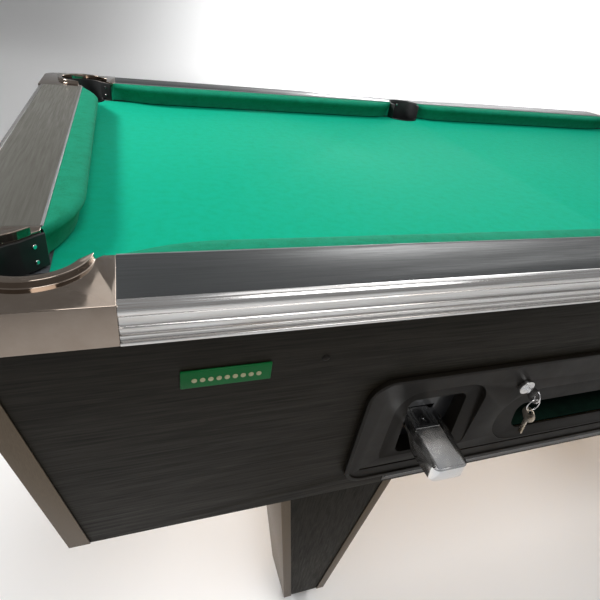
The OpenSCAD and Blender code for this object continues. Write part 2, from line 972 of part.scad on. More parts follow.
// Knuckles of the door hinge: every second one, starting with the given one
module knuckles(first) {
    for (i = [first:2:knuckle_n - 1]) {
        x0 = (i - knuckle_n / 2) * knuckle_l;
        difference() {
            rod_x(hinge_y, hinge_z, x0 + fit / 2, x0 + knuckle_l - fit / 2, knuckle_r);
            rod_x(hinge_y, hinge_z, x0 - 1, x0 + knuckle_l + 1, pin_r + run);
        }
    }
}

module hinge_cabinet_leaf() {
    color("silver")
    on_front() {
        knuckles(0);
        for (i = [0:2:knuckle_n - 1]) {
            x0 = (i - knuckle_n / 2) * knuckle_l;
            span3(
                [x0 + fit / 2, -leaf_t, hinge_z - knuckle_r - 6],
                [x0 + knuckle_l - fit / 2, 0, hinge_z - pin_r - 1]
            );
        }
        span3([-hinge_half, -leaf_t, hinge_z - knuckle_r - 14], [hinge_half, 0, hinge_z - knuckle_r - 1]);
    }
}

module hinge_door_leaf() {
    color("silver")
    on_front() {
        knuckles(1);
        for (i = [1:2:knuckle_n - 1]) {
            x0 = (i - knuckle_n / 2) * knuckle_l;
            span3(
                [x0 + fit / 2, door_face, hinge_z + pin_r + 1],
                [x0 + knuckle_l - fit / 2, door_back, door_bot]
            );
        }
    }
}

module hinge_pin() {
    color("silver") on_front() rod_x(hinge_y, hinge_z, -hinge_half - 1, hinge_half + 1, pin_r);
}

// A plain name plate with no name on it
module badge() {
    badge_w = 102;
    badge_h = 26;
    badge_t = 3;
    color([0.07, 0.42, 0.22])
    on_front() {
        plate_y(-badge_t, 0) translate([-771, -68]) square([badge_w, badge_h], center = true);
    }
}

// ---- Coin mechanism ----

module mech_housing() {
    gap = 1.5;
    color("silver")
    on_front()
    difference() {
        span3([box_x0, box_y0, box_z0], [box_x1, box_y1, box_z1]);
        span3(
            [box_x0 + box_t, box_y0 + box_t, box_z0 + box_t],
            [box_x1 - box_t, box_y1 - box_t, box_z1 - box_t]
        );
        span3(
            [slide_x - slide_half - gap, box_y0 - 1, slide_top - grip_t - gap],
            [slide_x + slide_half + gap, box_y0 + box_t + 1, slide_top + gap]
        );
        rod_x(lever_y, lever_z, box_x0 - 1, box_x1 + 1, lever_pin_r + run);
    }
}

// The pushed slide: a thin slide with a deep grip on its end, a raised plate with coin grooves, and the drive pin
module coin_slide() {
    end_r = 10;
    tip_half = slide_half - 3.5;
    plate_h = 2;
    edge_h = 1;
    grip_in = -33;
    grip_slant = 21;
    top = slide_top - plate_h;
    slide_bot = slide_top - slide_t;
    color("gainsboro")
    on_front() {
        intersection() {
            translate([slide_x - slide_half, 0, 0]) rotate([90, 0, 90]) linear_extrude(2 * slide_half) {
                polygon([
                    [-slide_out, slide_top - grip_t], [grip_in, slide_top - grip_t],
                    [grip_in + grip_slant, slide_bot], [slide_tail, slide_bot],
                    [slide_tail, top], [-slide_out, top]
                ]);
            }
            translate([slide_x, 0, slide_top - grip_t - 1]) linear_extrude(grip_t) {
                span2(-slide_half, grip_in, slide_half, slide_tail);
                polygon([
                    [-slide_half, grip_in + eps], [slide_half, grip_in + eps],
                    [tip_half, -slide_out + end_r], [-tip_half, -slide_out + end_r]
                ]);
                span2(end_r - tip_half, -slide_out, tip_half - end_r, -slide_out + end_r + eps);
                for (s = [-1, 1]) translate([s * (tip_half - end_r), -slide_out + end_r]) circle(end_r);
            }
        }
        difference() {
            translate([slide_x, 0, top - eps]) linear_extrude(plate_h + eps) {
                span2(-plate_half, 4 - slide_out, plate_half, slide_tail);
            }
            for (x = [-15, -10, 10, 15]) {
                span3([slide_x + x - 1, -9, slide_top - edge_h], [slide_x + x + 1, slide_tail - 20, slide_top + 1]);
            }
            span3([slide_x - 1.5, -8, slide_top - plate_h + 0.4], [slide_x + 1.5, 3, slide_top + 1]);
        }
        translate([slide_x, 0, 0]) span3(
            [-plate_half, -14, slide_top - eps], [plate_half, -12, slide_top + edge_h]
        );
        rod_x(drive_pin_y, slide_z, slide_x + slide_half - eps, lever_x + lever_t + 3, drive_pin_r);
    }
}

// The lever that the slide's pin swings, with a slot around the pin
module release_lever() {
    half = drive_pin_r + 0.6;
    reach = lever_arm / cos(lever_rest);
    color("goldenrod")
    on_front()
    translate([lever_x, lever_y, lever_z]) rotate([lever_rest, 0, 0]) rotate([90, 0, 90])
    linear_extrude(lever_t)
    difference() {
        union() {
            circle(10);
            span2(-7, 0, 7, reach + 6);
        }
        circle(lever_pin_r + run);
        span2(-half, lever_arm - 5, half, reach + 3.5);
    }
}

module lever_pin() {
    color("silver") on_front() rod_x(lever_y, lever_z, box_x0 - 2, box_x1 + 2, lever_pin_r);
}

// Torsion spring that swings the lever and the slide back out
module lever_spring() {
    wire = 0.8;
    turns = 7;
    color("darkgray")
    on_front()
    for (i = [0:turns - 1]) {
        translate([lever_x + lever_t + 2 + i * (2 * wire + 0.1), lever_y, lever_z])
        rotate([0, 90, 0]) rotate_extrude() translate([lever_pin_r + wire + 0.5, 0]) circle(wire, $fn = 24);
    }
}

// ---- Lock ----

module lock_barrel() {
    color("gainsboro")
    on_front()
    difference() {
        union() {
            rod_y(lock_x, lock_z, door_face, cam_y - 1, barrel_r);
            rod_y(lock_x, lock_z, plug_face, door_face - 0.1, barrel_r + 3);
            rod_y(lock_x, lock_z, door_back + 0.1, 6, barrel_r + 4);
        }
        rod_y(lock_x, lock_z, plug_face - 1, cam_y + 1, plug_r + run);
    }
}

module lock_plug() {
    slot = key_t / 2 + 0.1;
    color("silver")
    on_front()
    difference() {
        rod_y(lock_x, lock_z, plug_face, cam_y - 0.4, plug_r);
        span3(
            [lock_x - slot, plug_face - 1, lock_z - key_h / 2 - 0.1],
            [lock_x + slot, plug_face + 24.2, lock_z + key_h / 2 + 0.1]
        );
    }
}

// The cam lies along the panel when unlocked and stands up behind it when locked
module lock_cam() {
    color("darkgray")
    on_front() {
        plate_y(cam_y - 0.4, cam_y + cam_t) translate([lock_x, lock_z]) {
            circle(8);
            span2(-cam_l, -6, 0, 6);
        }
        rod_y(lock_x, lock_z, cam_y + cam_t - eps, cam_y + cam_t + 4, 5);
    }
}

// A key lying in the y-z plane: its bow at the origin, its blade along +y
module key_blank(blade) {
    translate([-key_t / 2, 0, 0]) rotate([90, 0, 90]) linear_extrude(key_t) difference() {
        union() {
            circle(bow_r);
            span2(bow_r - 3, -key_h / 2, bow_r + blade, key_h / 2);
        }
        translate([-6, 0]) circle(bow_hole);
        for (i = [0:3]) translate([bow_r + 8 + i * 4, -key_h / 2 - 0.6]) rotate(45) square(2, center = true);
    }
}

module key() {
    color("gainsboro")
    on_front() translate([lock_x, bow_y, lock_z]) key_blank(plug_face + 24 - bow_y - bow_r);
}

// Children hang plumb from the bow of the key in the lock, z up from that point
module on_hook() {
    on_front() translate([lock_x, hole_y, hang_z]) rotate([-side_slope, 0, 0]) children();
}

module key_ring() {
    color("gainsboro")
    on_hook() translate([0, 0, -ring_r]) rotate([90, 0, 0]) rotate_extrude() {
        translate([ring_r, 0]) circle(ring_wire, $fn = 24);
    }
}

module spare_key() {
    color("darkkhaki")
    on_hook() translate([0, 0, -2 * ring_r - ring_drop - 6]) rotate([-90, 0, 0]) key_blank(26);
}

// ---- Ball return ----

// The open tray behind the slot, from which the balls are taken
module ball_tray() {
    x = slot_l / 2 + 6;
    y0 = panel_t + 2;
    y1 = y0 + 74;
    z0 = slot_z - slot_h / 2 - 2;
    z1 = slot_z + slot_h / 2;
    sill_y = 6;
    color([0.05, 0.2, 0.12])
    on_front() {
        difference() {
            span3([-x, y0, z0 - wall_t], [x, y1, z1]);
            span3([-x + wall_t, y0 - 1, z0], [x - wall_t, y1 - wall_t, z1 + 1]);
        }
        span3([-x, sill_y, z0 - wall_t], [x, y0 + 1, z0]);
    }
}

// A trough along x with its floor at z0 on the left and z1 on the right
module trough(x0, z0, x1, z1, y) {
    rotate([90, 0, 0]) {
        translate([0, 0, -y - ramp_w]) linear_extrude(2 * ramp_w) {
            polygon([[x0, z0 - wall_t], [x1, z1 - wall_t], [x1, z1], [x0, z0]]);
        }
        for (s = [-ramp_w, ramp_w - wall_t]) translate([0, 0, s - y]) linear_extrude(wall_t) {
            polygon([[x0, z0 - wall_t], [x1, z1 - wall_t], [x1, z1 + runway_h], [x0, z0 + runway_h]]);
        }
    }
}

// Half of the outlet's width, at the middle of the front trough
outlet = hole_w / 2;

module front_runway() {
    end = pocket_x + 34;
    difference() {
        union() {
            trough(-end, front_high, 0, front_low, -mid_y);
            trough(0, front_low, end, front_high, -mid_y);
        }
        span3([-outlet, -mid_y - outlet, front_low - 10], [outlet, -mid_y + outlet, front_low + 4]);
        span3([-outlet, -mid_y, cross_low], [outlet, -mid_y + ramp_w + 1, cross_low + 60]);
    }
}

module back_runway() {
    end = pocket_x + 34;
    difference() {
        union() {
            trough(-end, back_high, 0, back_low, mid_y);
            trough(0, back_low, end, back_high, mid_y);
        }
        span3([-outlet, mid_y - ramp_w - 1, back_low - 1], [outlet, mid_y, back_low + 60]);
    }
}

// The ramp that brings the balls of the back pockets to the front
module cross_runway() {
    start = mid_y - ramp_w - 0.5;
    rotate([0, 0, 90]) trough(-start, cross_low, start, cross_high, 0);
}

module ball_runways() {
    color("gray") {
        front_runway();
        back_runway();
        cross_runway();
    }
}

// The flap that holds the balls back over the tray until a coin is pushed
flap_z = front_low - wall_t - flap_t - 0.5;
flap_pin_z = flap_z + flap_t / 2;
flap_pin_x = outlet + 6;

module trap_flap() {
    color("goldenrod")
    translate([0, -mid_y, 0]) {
        span3([-outlet - 2, -outlet + 1, flap_z], [flap_pin_x, outlet - 1, flap_z + flap_t]);
        rotate([90, 0, 0]) translate([flap_pin_x, flap_pin_z, -outlet - 2]) {
            cylinder(h = 2 * outlet + 4, r = flap_pin_r);
        }
    }
}

module cash_box() {
    a = [-540, -400, cab_bot + floor_t + 0.3];
    b = [-350, -250, cab_bot + floor_t + 95];
    wall = [2, 2, 0];
    color("slategray")
    difference() {
        span3(a, b);
        span3(a + wall + [0, 0, 2], b - wall + [0, 0, 1]);
    }
}

// ---- Assembly ----

slate_bed();
bed_cloth();
slate_frame();
rail_front();
rail_back();
rail_left();
rail_right();
side_trims();
end_trims();
corner_casting_fl();
corner_casting_fr();
corner_casting_bl();
corner_casting_br();
cushion_front_left();
cushion_front_right();
cushion_back_left();
cushion_back_right();
cushion_left();
cushion_right();
corner_liners();
middle_liners();
liner_screws();
drop_chutes();
rail_bolts();
side_panel_front();
side_panel_back();
end_panel_left();
end_panel_right();
cabinet_floor();
corner_strips();
leg_fl();
leg_fr();
leg_bl();
leg_br();
leg_cladding();
foot_fl();
foot_fr();
foot_bl();
foot_br();
front_door();
hinge_cabinet_leaf();
hinge_door_leaf();
hinge_pin();
badge();
mech_housing();
coin_slide();
release_lever();
lever_pin();
lever_spring();
lock_barrel();
lock_plug();
lock_cam();
key();
key_ring();
spare_key();
ball_tray();
ball_runways();
trap_flap();
cash_box();
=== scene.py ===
"""A coin-operated pub pool table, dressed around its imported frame. Metres, +Z up, front towards -Y."""
import logging
import math
from collections.abc import Sequence
from dataclasses import dataclass, field
from enum import Enum

import bpy
from mathutils import Matrix, Vector


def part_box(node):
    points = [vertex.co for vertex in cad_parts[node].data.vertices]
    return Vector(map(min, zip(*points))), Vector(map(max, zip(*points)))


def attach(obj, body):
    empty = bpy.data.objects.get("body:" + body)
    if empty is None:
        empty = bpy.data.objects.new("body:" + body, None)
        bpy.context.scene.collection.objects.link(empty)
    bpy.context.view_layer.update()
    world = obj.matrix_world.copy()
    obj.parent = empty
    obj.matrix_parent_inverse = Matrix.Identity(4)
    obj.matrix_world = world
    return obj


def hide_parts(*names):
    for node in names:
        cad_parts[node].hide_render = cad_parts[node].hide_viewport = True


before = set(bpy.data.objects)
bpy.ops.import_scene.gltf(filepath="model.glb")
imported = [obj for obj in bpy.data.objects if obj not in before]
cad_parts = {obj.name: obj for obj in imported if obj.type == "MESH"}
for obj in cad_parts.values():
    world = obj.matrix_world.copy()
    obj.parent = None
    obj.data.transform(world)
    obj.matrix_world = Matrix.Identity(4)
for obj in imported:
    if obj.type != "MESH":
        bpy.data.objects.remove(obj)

Material = bpy.types.Material
Piece = bpy.types.Object
Socket = bpy.types.NodeSocket

LOG = logging.getLogger("pool_table")
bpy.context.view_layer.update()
MM = 0.001
SIDE_SLOPE = math.radians(5.14)
MERGE_GAP = 0.002 * MM  # points closer than this are one point
FLAT_ANGLE = math.radians(0.6)  # faces that meet at less than this are one face
CORNERS = {"fl": (-1, -1), "fr": (1, -1), "bl": (-1, 1), "br": (1, 1)}


class Axis(Enum):
    """The direction that a grain or a brushing runs in."""

    X = 0
    Y = 1
    Z = 2


# ---- Small tools ----


def linear(hex_colour: str) -> tuple[float, float, float, float]:
    """Turn an sRGB hex colour into a linear one.

    Args:
        hex_colour: Six hex digits, red first.

    Returns:
        Linear red, green, blue and an alpha of 1.
    """
    parts = [int(hex_colour[i : i + 2], 16) / 255 for i in (0, 2, 4)]
    low = [c / 12.92 if c <= 0.04045 else ((c + 0.055) / 1.055) ** 2.4 for c in parts]
    return (low[0], low[1], low[2], 1.0)


def add_node(
    tree: bpy.types.NodeTree, kind: str, settings: dict | None = None, **links: object
) -> bpy.types.Node:
    """Add a shader node with its settings, values and links.

    Args:
        tree: The material's node tree.
        kind: The node's type name.
        settings: Attributes of the node itself.
        **links: An input's name, with _ for a space, or i and its number, to a value or an output socket.

    Returns:
        The new node.
    """
    node = tree.nodes.new(kind)
    for name, value in (settings or {}).items():
        setattr(node, name, value)
    for name, value in links.items():
        key = int(name[1:]) if name[0] == "i" and name[1:].isdigit() else name.replace("_", " ")
        socket = node.inputs[key]
        if isinstance(value, Socket):
            tree.links.new(value, socket)
        else:
            socket.default_value = value
    return node


def ramp(tree: bpy.types.NodeTree, factor: Socket, stops: Sequence[tuple[float, str]]) -> Socket:
    """Colour a pattern through a ramp.

    Args:
        tree: The material's node tree.
        factor: The pattern.
        stops: Positions from 0 to 1 with their hex colours.

    Returns:
        The ramp's colour output.
    """
    node = add_node(tree, "ShaderNodeValToRGB", Fac=factor)
    stop_list = node.color_ramp.elements
    while len(stop_list) < len(stops):
        stop_list.new(0.5)
    for element, (place, colour) in zip(stop_list, stops):
        element.position = place
        element.color = linear(colour)
    return node.outputs["Color"]


def deselect() -> None:
    """Leave object mode with nothing selected."""
    if bpy.context.mode != "OBJECT":
        bpy.ops.object.mode_set(mode="OBJECT")
    bpy.ops.object.select_all(action="DESELECT")


def activate(piece: Piece) -> None:
    """Select one object alone and make it active."""
    deselect()
    piece.select_set(True)
    bpy.context.view_layer.objects.active = piece


def set_in_place(piece: Piece) -> None:
    """Move an object's place, turn and size into its mesh."""
    activate(piece)
    bpy.ops.object.transform_apply(location=True, rotation=True, scale=True)


def smooth(piece: Piece, degrees: float = 32.0) -> None:
    """Shade a piece smooth except over edges sharper than an angle.

    Args:
        piece: The piece.
        degrees: The angle.
    """
    activate(piece)
    bpy.ops.object.shade_smooth_by_angle(angle=math.radians(degrees))


def apply_modifier(piece: Piece, kind: str, **settings: object) -> None:
    """Add one modifier and apply it.

    Args:
        piece: The object to change.
        kind: The modifier's type name.
        **settings: The modifier's attributes.
    """
    activate(piece)
    modifier = piece.modifiers.new(kind.title(), kind)
    for name, value in settings.items():
        setattr(modifier, name, value)
    bpy.ops.object.modifier_apply(modifier=modifier.name)


def round_edges(piece: Piece, width: float, segments: int = 2, degrees: float = 30.0) -> None:
    """Bevel every edge that is sharper than an angle.

    Args:
        piece: The piece.
        width: Width of the bevel in metres.
        segments: Faces across the bevel.
        degrees: The angle.
    """
    apply_modifier(
        piece, "BEVEL", width=width, segments=segments, limit_method="ANGLE",
        angle_limit=math.radians(degrees), harden_normals=False, use_clamp_overlap=True,
    )


def softened(node: str, name: str, width: float, segments: int = 2, degrees: float = 30.0) -> Piece:
    """Copy a CAD node's shape and round its edges as the real piece's are.

    Args:
        node: The CAD node.
        name: The new piece's name.
        width: Width of the rounding in metres.
        segments: Faces across the rounding.
        degrees: Edges sharper than this are rounded.

    Returns:
        The new piece, which doesn't ride on anything yet.
    """
    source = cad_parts[node]
    piece = bpy.data.objects.new(name, source.data.copy())
    bpy.context.scene.collection.objects.link(piece)
    activate(piece)
    bpy.ops.object.mode_set(mode="EDIT")
    bpy.ops.mesh.select_all(action="SELECT")
    bpy.ops.mesh.remove_doubles(threshold=MERGE_GAP)
    bpy.ops.mesh.dissolve_limited(angle_limit=FLAT_ANGLE)
    bpy.ops.object.mode_set(mode="OBJECT")
    round_edges(piece, width, segments, degrees)
    smooth(piece)
    return piece


def dress(piece: Piece, material: Material) -> None:
    """Give a piece one material in place of any that it has.

    Args:
        piece: The piece.
        material: Its material.
    """
    if len(piece.material_slots) == 0:
        piece.data.materials.append(material)
    for slot in piece.material_slots:
        slot.material = material


def finish_piece(
    piece: Piece, body: str, material: Material, slot: str, *nodes: str
) -> Piece:
    """Dress a piece, hang it on its body and hide the nodes that it stands for.

    Args:
        piece: The new piece.
        body: The CAD body that it rides on.
        material: Its material.
        slot: A material slot's name, which is not used.
        *nodes: The CAD nodes that it replaces.

    Returns:
        The same piece.
    """
    dress(piece, material)
    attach(piece, body)
    if nodes:
        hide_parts(*nodes)
    LOG.info("%s: %d faces on %s", piece.name, len(piece.data.polygons), body)
    return piece


def dress_nodes(material: Material, *nodes: str) -> None:
    """Give CAD nodes that stay visible their material.

    Args:
        material: The material.
        *nodes: The nodes' names.
    """
    for node in nodes:
        dress(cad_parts[node], material)


def front_point(x: float, y: float, z: float) -> Vector:
    """A place in the tilted frame of the front panel, as a place in the row frame.

    Args:
        x: Along the front.
        y: Inward from the panel's face.
        z: Up the panel from its top edge.

    Returns:
        The point in the row frame, in metres.
    """
    low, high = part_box("side_panel_front")
    return Vector((0, low.y, high.z)) + Matrix.Rotation(SIDE_SLOPE, 3, "X") @ Vector((x, y, z))


def lay_on_front(piece: Piece) -> None:
    """Move a piece that was made in the front panel's frame to its place."""
    piece.matrix_world = Matrix.Translation(front_point(0, 0, 0)) @ Matrix.Rotation(SIDE_SLOPE, 4, "X")
    set_in_place(piece)


# ---- Finishes ----


@dataclass(frozen=True)
class Finish:
    """What every finish has: a name, a principled shader and a way to build it."""

    name: str

    def start(self) -> tuple[Material, bpy.types.NodeTree, bpy.types.Node, Socket]:
        """Make an empty material.

        Returns:
            The material, its tree, its principled shader and the object coordinates.
        """
        material = bpy.data.materials.new(self.name)
        material.use_nodes = True
        tree = material.node_tree
        shader = tree.nodes["Principled BSDF"]
        place = add_node(tree, "ShaderNodeTexCoord").outputs["Object"]
        return material, tree, shader, place

    def build(self) -> Material:
        """Make the material, which each kind of finish does in its own way."""
        raise NotImplementedError


@dataclass(frozen=True)
class NappedCloth(Finish):
    """Worsted pool cloth: fine threads under a short brushed nap, which scatter light softly."""

    light: str
    dark: str
    thread: float = 0.9 * MM  # real threads are 0.4 mm apart, drawn coarser so that they show

    def build(self) -> Material:
        """Make the cloth: a faintly mottled nap, and crossed threads in bump.

        Returns:
            The material.
        """
        material, tree, shader, place = self.start()
        nap = add_node(tree, "ShaderNodeTexNoise", Vector=place, Scale=60.0, Detail=4.0, Roughness=0.6)
        fibre = add_node(
            tree, "ShaderNodeTexNoise", Vector=place, Scale=1 / (1.6 * self.thread), Detail=3.0
        )
        both = add_node(
            tree, "ShaderNodeMath", {"operation": "MULTIPLY_ADD"},
            i0=fibre.outputs["Fac"], i1=0.8, i2=nap.outputs["Fac"],
        )
        colour = ramp(tree, both.outputs[0], [(0.55, self.dark), (1.0, self.light)])
        tree.links.new(colour, shader.inputs["Base Color"])
        waves = []
        for direction in ("X", "Y"):
            waves.append(add_node(
                tree, "ShaderNodeTexWave", {"bands_direction": direction}, Vector=place,
                Scale=math.pi / 10 / self.thread, Distortion=0.6, Detail=1.0,
            ).outputs["Fac"])
        weave = add_node(tree, "ShaderNodeMath", {"operation": "MULTIPLY"}, i0=waves[0], i1=waves[1])
        relief = add_node(
            tree, "ShaderNodeMath", {"operation": "ADD"}, i0=weave.outputs[0], i1=fibre.outputs["Fac"]
        )
        bump = add_node(
            tree, "ShaderNodeBump", Height=relief.outputs[0], Strength=0.35, Distance=0.25 * MM
        )
        tree.links.new(bump.outputs["Normal"], shader.inputs["Normal"])
        shader.inputs["Roughness"].default_value = 0.92
        shader.inputs["Specular IOR Level"].default_value = 0.08
        return material


@dataclass(frozen=True)
class AshLaminate(Finish):
    """Melamine board pressed with an ash grain: long fine pores that break up a satin sheen."""

    light: str
    dark: str
    axis: Axis
    roughness: float = 0.36
    pore: float = 0.8 * MM  # width of a pore across the grain
    stretch: float = 34.0  # a pore's length over its width
    relief: float = 0.2 * MM
    gloss: float = 0.25
    figure: float = 0.02

    def build(self) -> Material:
        """Make the board: streaks and cathedral grain in colour, roughness and bump.

        Returns:
            The material.
        """
        material, tree, shader, place = self.start()
        across = 1 / (4 * self.pore)
        scale = [across, across, across]
        scale[self.axis.value] = across / self.stretch
        grain_place = add_node(tree, "ShaderNodeMapping", Vector=place, Scale=tuple(scale)).outputs[0]
        streaks = add_node(
            tree, "ShaderNodeTexNoise", Vector=grain_place, Scale=1.0, Detail=6.0, Roughness=0.7,
            Distortion=0.4,
        ).outputs["Fac"]
        wide = [3.2, 3.2, 3.2]
        wide[self.axis.value] = 0.45
        wide_place = add_node(tree, "ShaderNodeMapping", Vector=place, Scale=tuple(wide)).outputs[0]
        figure = add_node(
            tree, "ShaderNodeTexNoise", Vector=wide_place, Scale=5.0, Detail=2.0, Distortion=1.2
        ).outputs["Fac"]
        rings = add_node(tree, "ShaderNodeMath", {"operation": "MULTIPLY"}, i0=figure, i1=26.0)
        bands = add_node(tree, "ShaderNodeMath", {"operation": "SINE"}, i0=rings.outputs[0])
        grain = add_node(
            tree, "ShaderNodeMath", {"operation": "MULTIPLY_ADD"},
            i0=bands.outputs[0], i1=self.figure, i2=streaks
        ).outputs[0]
        colour = ramp(tree, grain, [(0.34, self.dark), (0.62, self.light)])
        tree.links.new(colour, shader.inputs["Base Color"])
        rough = add_node(
            tree, "ShaderNodeMapRange", Value=grain, i1=0.3, i2=0.7,
            i3=self.roughness + 0.16, i4=self.roughness - 0.06,
        ).outputs[0]
        tree.links.new(rough, shader.inputs["Roughness"])
        bump = add_node(tree, "ShaderNodeBump", Height=grain, Strength=0.5, Distance=self.relief)
        tree.links.new(bump.outputs["Normal"], shader.inputs["Normal"])
        shader.inputs["IOR"].default_value = 1.5
        shader.inputs["Specular IOR Level"].default_value = self.gloss
        return material


@dataclass(frozen=True)
class BrushedMetal(Finish):
    """Extruded or rolled metal with fine lines along its length, which stretch its highlights."""

    colour: str
    axis: Axis
    roughness: float = 0.28
    line: float = 0.5 * MM
    bright: str = "F2F4F6"

    def build(self) -> Material:
        """Make the metal: drawn lines in roughness, tint and a trace of bump.

        Returns:
            The material.
        """
        material, tree, shader, place = self.start()
        scale = [1 / self.line] * 3
        scale[self.axis.value] = 1 / (self.line * 140)
        drawn = add_node(tree, "ShaderNodeMapping", Vector=place, Scale=tuple(scale)).outputs[0]
        lines = add_node(tree, "ShaderNodeTexNoise", Vector=drawn, Scale=1.0, Detail=4.0).outputs["Fac"]
        colour = ramp(tree, lines, [(0.3, self.colour), (0.7, self.bright)])
        tree.links.new(colour, shader.inputs["Base Color"])
        rough = add_node(
            tree, "ShaderNodeMapRange", Value=lines, i1=0.25, i2=0.75,
            i3=self.roughness - 0.05, i4=self.roughness + 0.1,
        ).outputs[0]
        tree.links.new(rough, shader.inputs["Roughness"])
        bump = add_node(tree, "ShaderNodeBump", Height=lines, Strength=0.15, Distance=0.05 * MM)
        tree.links.new(bump.outputs["Normal"], shader.inputs["Normal"])
        shader.inputs["Metallic"].default_value = 1.0
        return material


@dataclass(frozen=True)
class Plating(Finish):
    """Polished and plated metal: a mirror with faint waves from the casting and wipe marks."""

    colour: str
    roughness: float = 0.06
    wave: float = 0.12 * MM
    bright: str = "F4F1EC"

    def build(self) -> Material:
        """Make the plating: broad waves in bump and smears in roughness.

        Returns:
            The material.
        """
        material, tree, shader, place = self.start()
        smear = add_node(
            tree, "ShaderNodeTexNoise", Vector=place, Scale=38.0, Detail=5.0, Roughness=0.6
        ).outputs["Fac"]
        rough = add_node(
            tree, "ShaderNodeMapRange", Value=smear, i1=0.35, i2=0.75,
            i3=self.roughness, i4=self.roughness + 0.14,
        ).outputs[0]
        tree.links.new(rough, shader.inputs["Roughness"])
        colour = ramp(tree, smear, [(0.2, self.colour), (0.8, self.bright)])
        tree.links.new(colour, shader.inputs["Base Color"])
        cast = add_node(tree, "ShaderNodeTexNoise", Vector=place, Scale=14.0, Detail=1.0).outputs["Fac"]
        bump = add_node(tree, "ShaderNodeBump", Height=cast, Strength=0.25, Distance=self.wave * 10)
        tree.links.new(bump.outputs["Normal"], shader.inputs["Normal"])
        shader.inputs["Metallic"].default_value = 1.0
        return material


@dataclass(frozen=True)
class Moulding(Finish):
    """Moulded or painted plastic: one colour through, a fine spark-eroded grain and slight gloss."""

    colour: str
    roughness: float = 0.42
    grain: float = 0.8 * MM
    relief: float = 0.08 * MM
    worn: str = ""
    coat: float = 0.0
    gloss: float = 0.5

    def build(self) -> Material:
        """Make the plastic: grain in bump, faint wear in colour and roughness.

        Returns:
            The material.
        """
        material, tree, shader, place = self.start()
        wear = add_node(
            tree, "ShaderNodeTexNoise", Vector=place, Scale=22.0, Detail=6.0, Roughness=0.62
        ).outputs["Fac"]
        colour = ramp(tree, wear, [(0.35, self.colour), (0.85, self.worn or self.colour)])
        tree.links.new(colour, shader.inputs["Base Color"])
        rough = add_node(
            tree, "ShaderNodeMapRange", Value=wear, i1=0.3, i2=0.8,
            i3=self.roughness - 0.05, i4=self.roughness + 0.12,
        ).outputs[0]
        tree.links.new(rough, shader.inputs["Roughness"])
        cells = add_node(tree, "ShaderNodeTexVoronoi", Vector=place, Scale=1 / self.grain)
        pits = cells.outputs["Distance"]
        bump = add_node(tree, "ShaderNodeBump", Height=pits, Strength=0.3, Distance=self.relief)
        tree.links.new(bump.outputs["Normal"], shader.inputs["Normal"])
        shader.inputs["IOR"].default_value = 1.5
        shader.inputs["Coat Weight"].default_value = self.coat
        shader.inputs["Specular IOR Level"].default_value = self.gloss
        return material


@dataclass(frozen=True)
class Stone(Finish):
    """Honed slate: dark grey with soft cloudy layers and a dusty, dull surface."""

    light: str = "5B6066"
    dark: str = "34383D"

    def build(self) -> Material:
        """Make the slate: stretched clouds in colour and fine bump.

        Returns:
            The material.
        """
        material, tree, shader, place = self.start()
        cloud = add_node(
            tree, "ShaderNodeTexNoise", Vector=place, Scale=9.0, Detail=8.0, Roughness=0.6, Distortion=0.8
        ).outputs["Fac"]
        colour = ramp(tree, cloud, [(0.3, self.dark), (0.7, self.light)])
        tree.links.new(colour, shader.inputs["Base Color"])
        bump = add_node(tree, "ShaderNodeBump", Height=cloud, Strength=0.3, Distance=0.5 * MM)
        tree.links.new(bump.outputs["Normal"], shader.inputs["Normal"])
        shader.inputs["Roughness"].default_value = 0.7
        return material


def made(finish: Finish) -> Material:
    """Make a palette's field that is built from a finish when the palette is.

    Args:
        finish: The finish.

    Returns:
        The dataclass field.
    """
    return field(default_factory=finish.build)


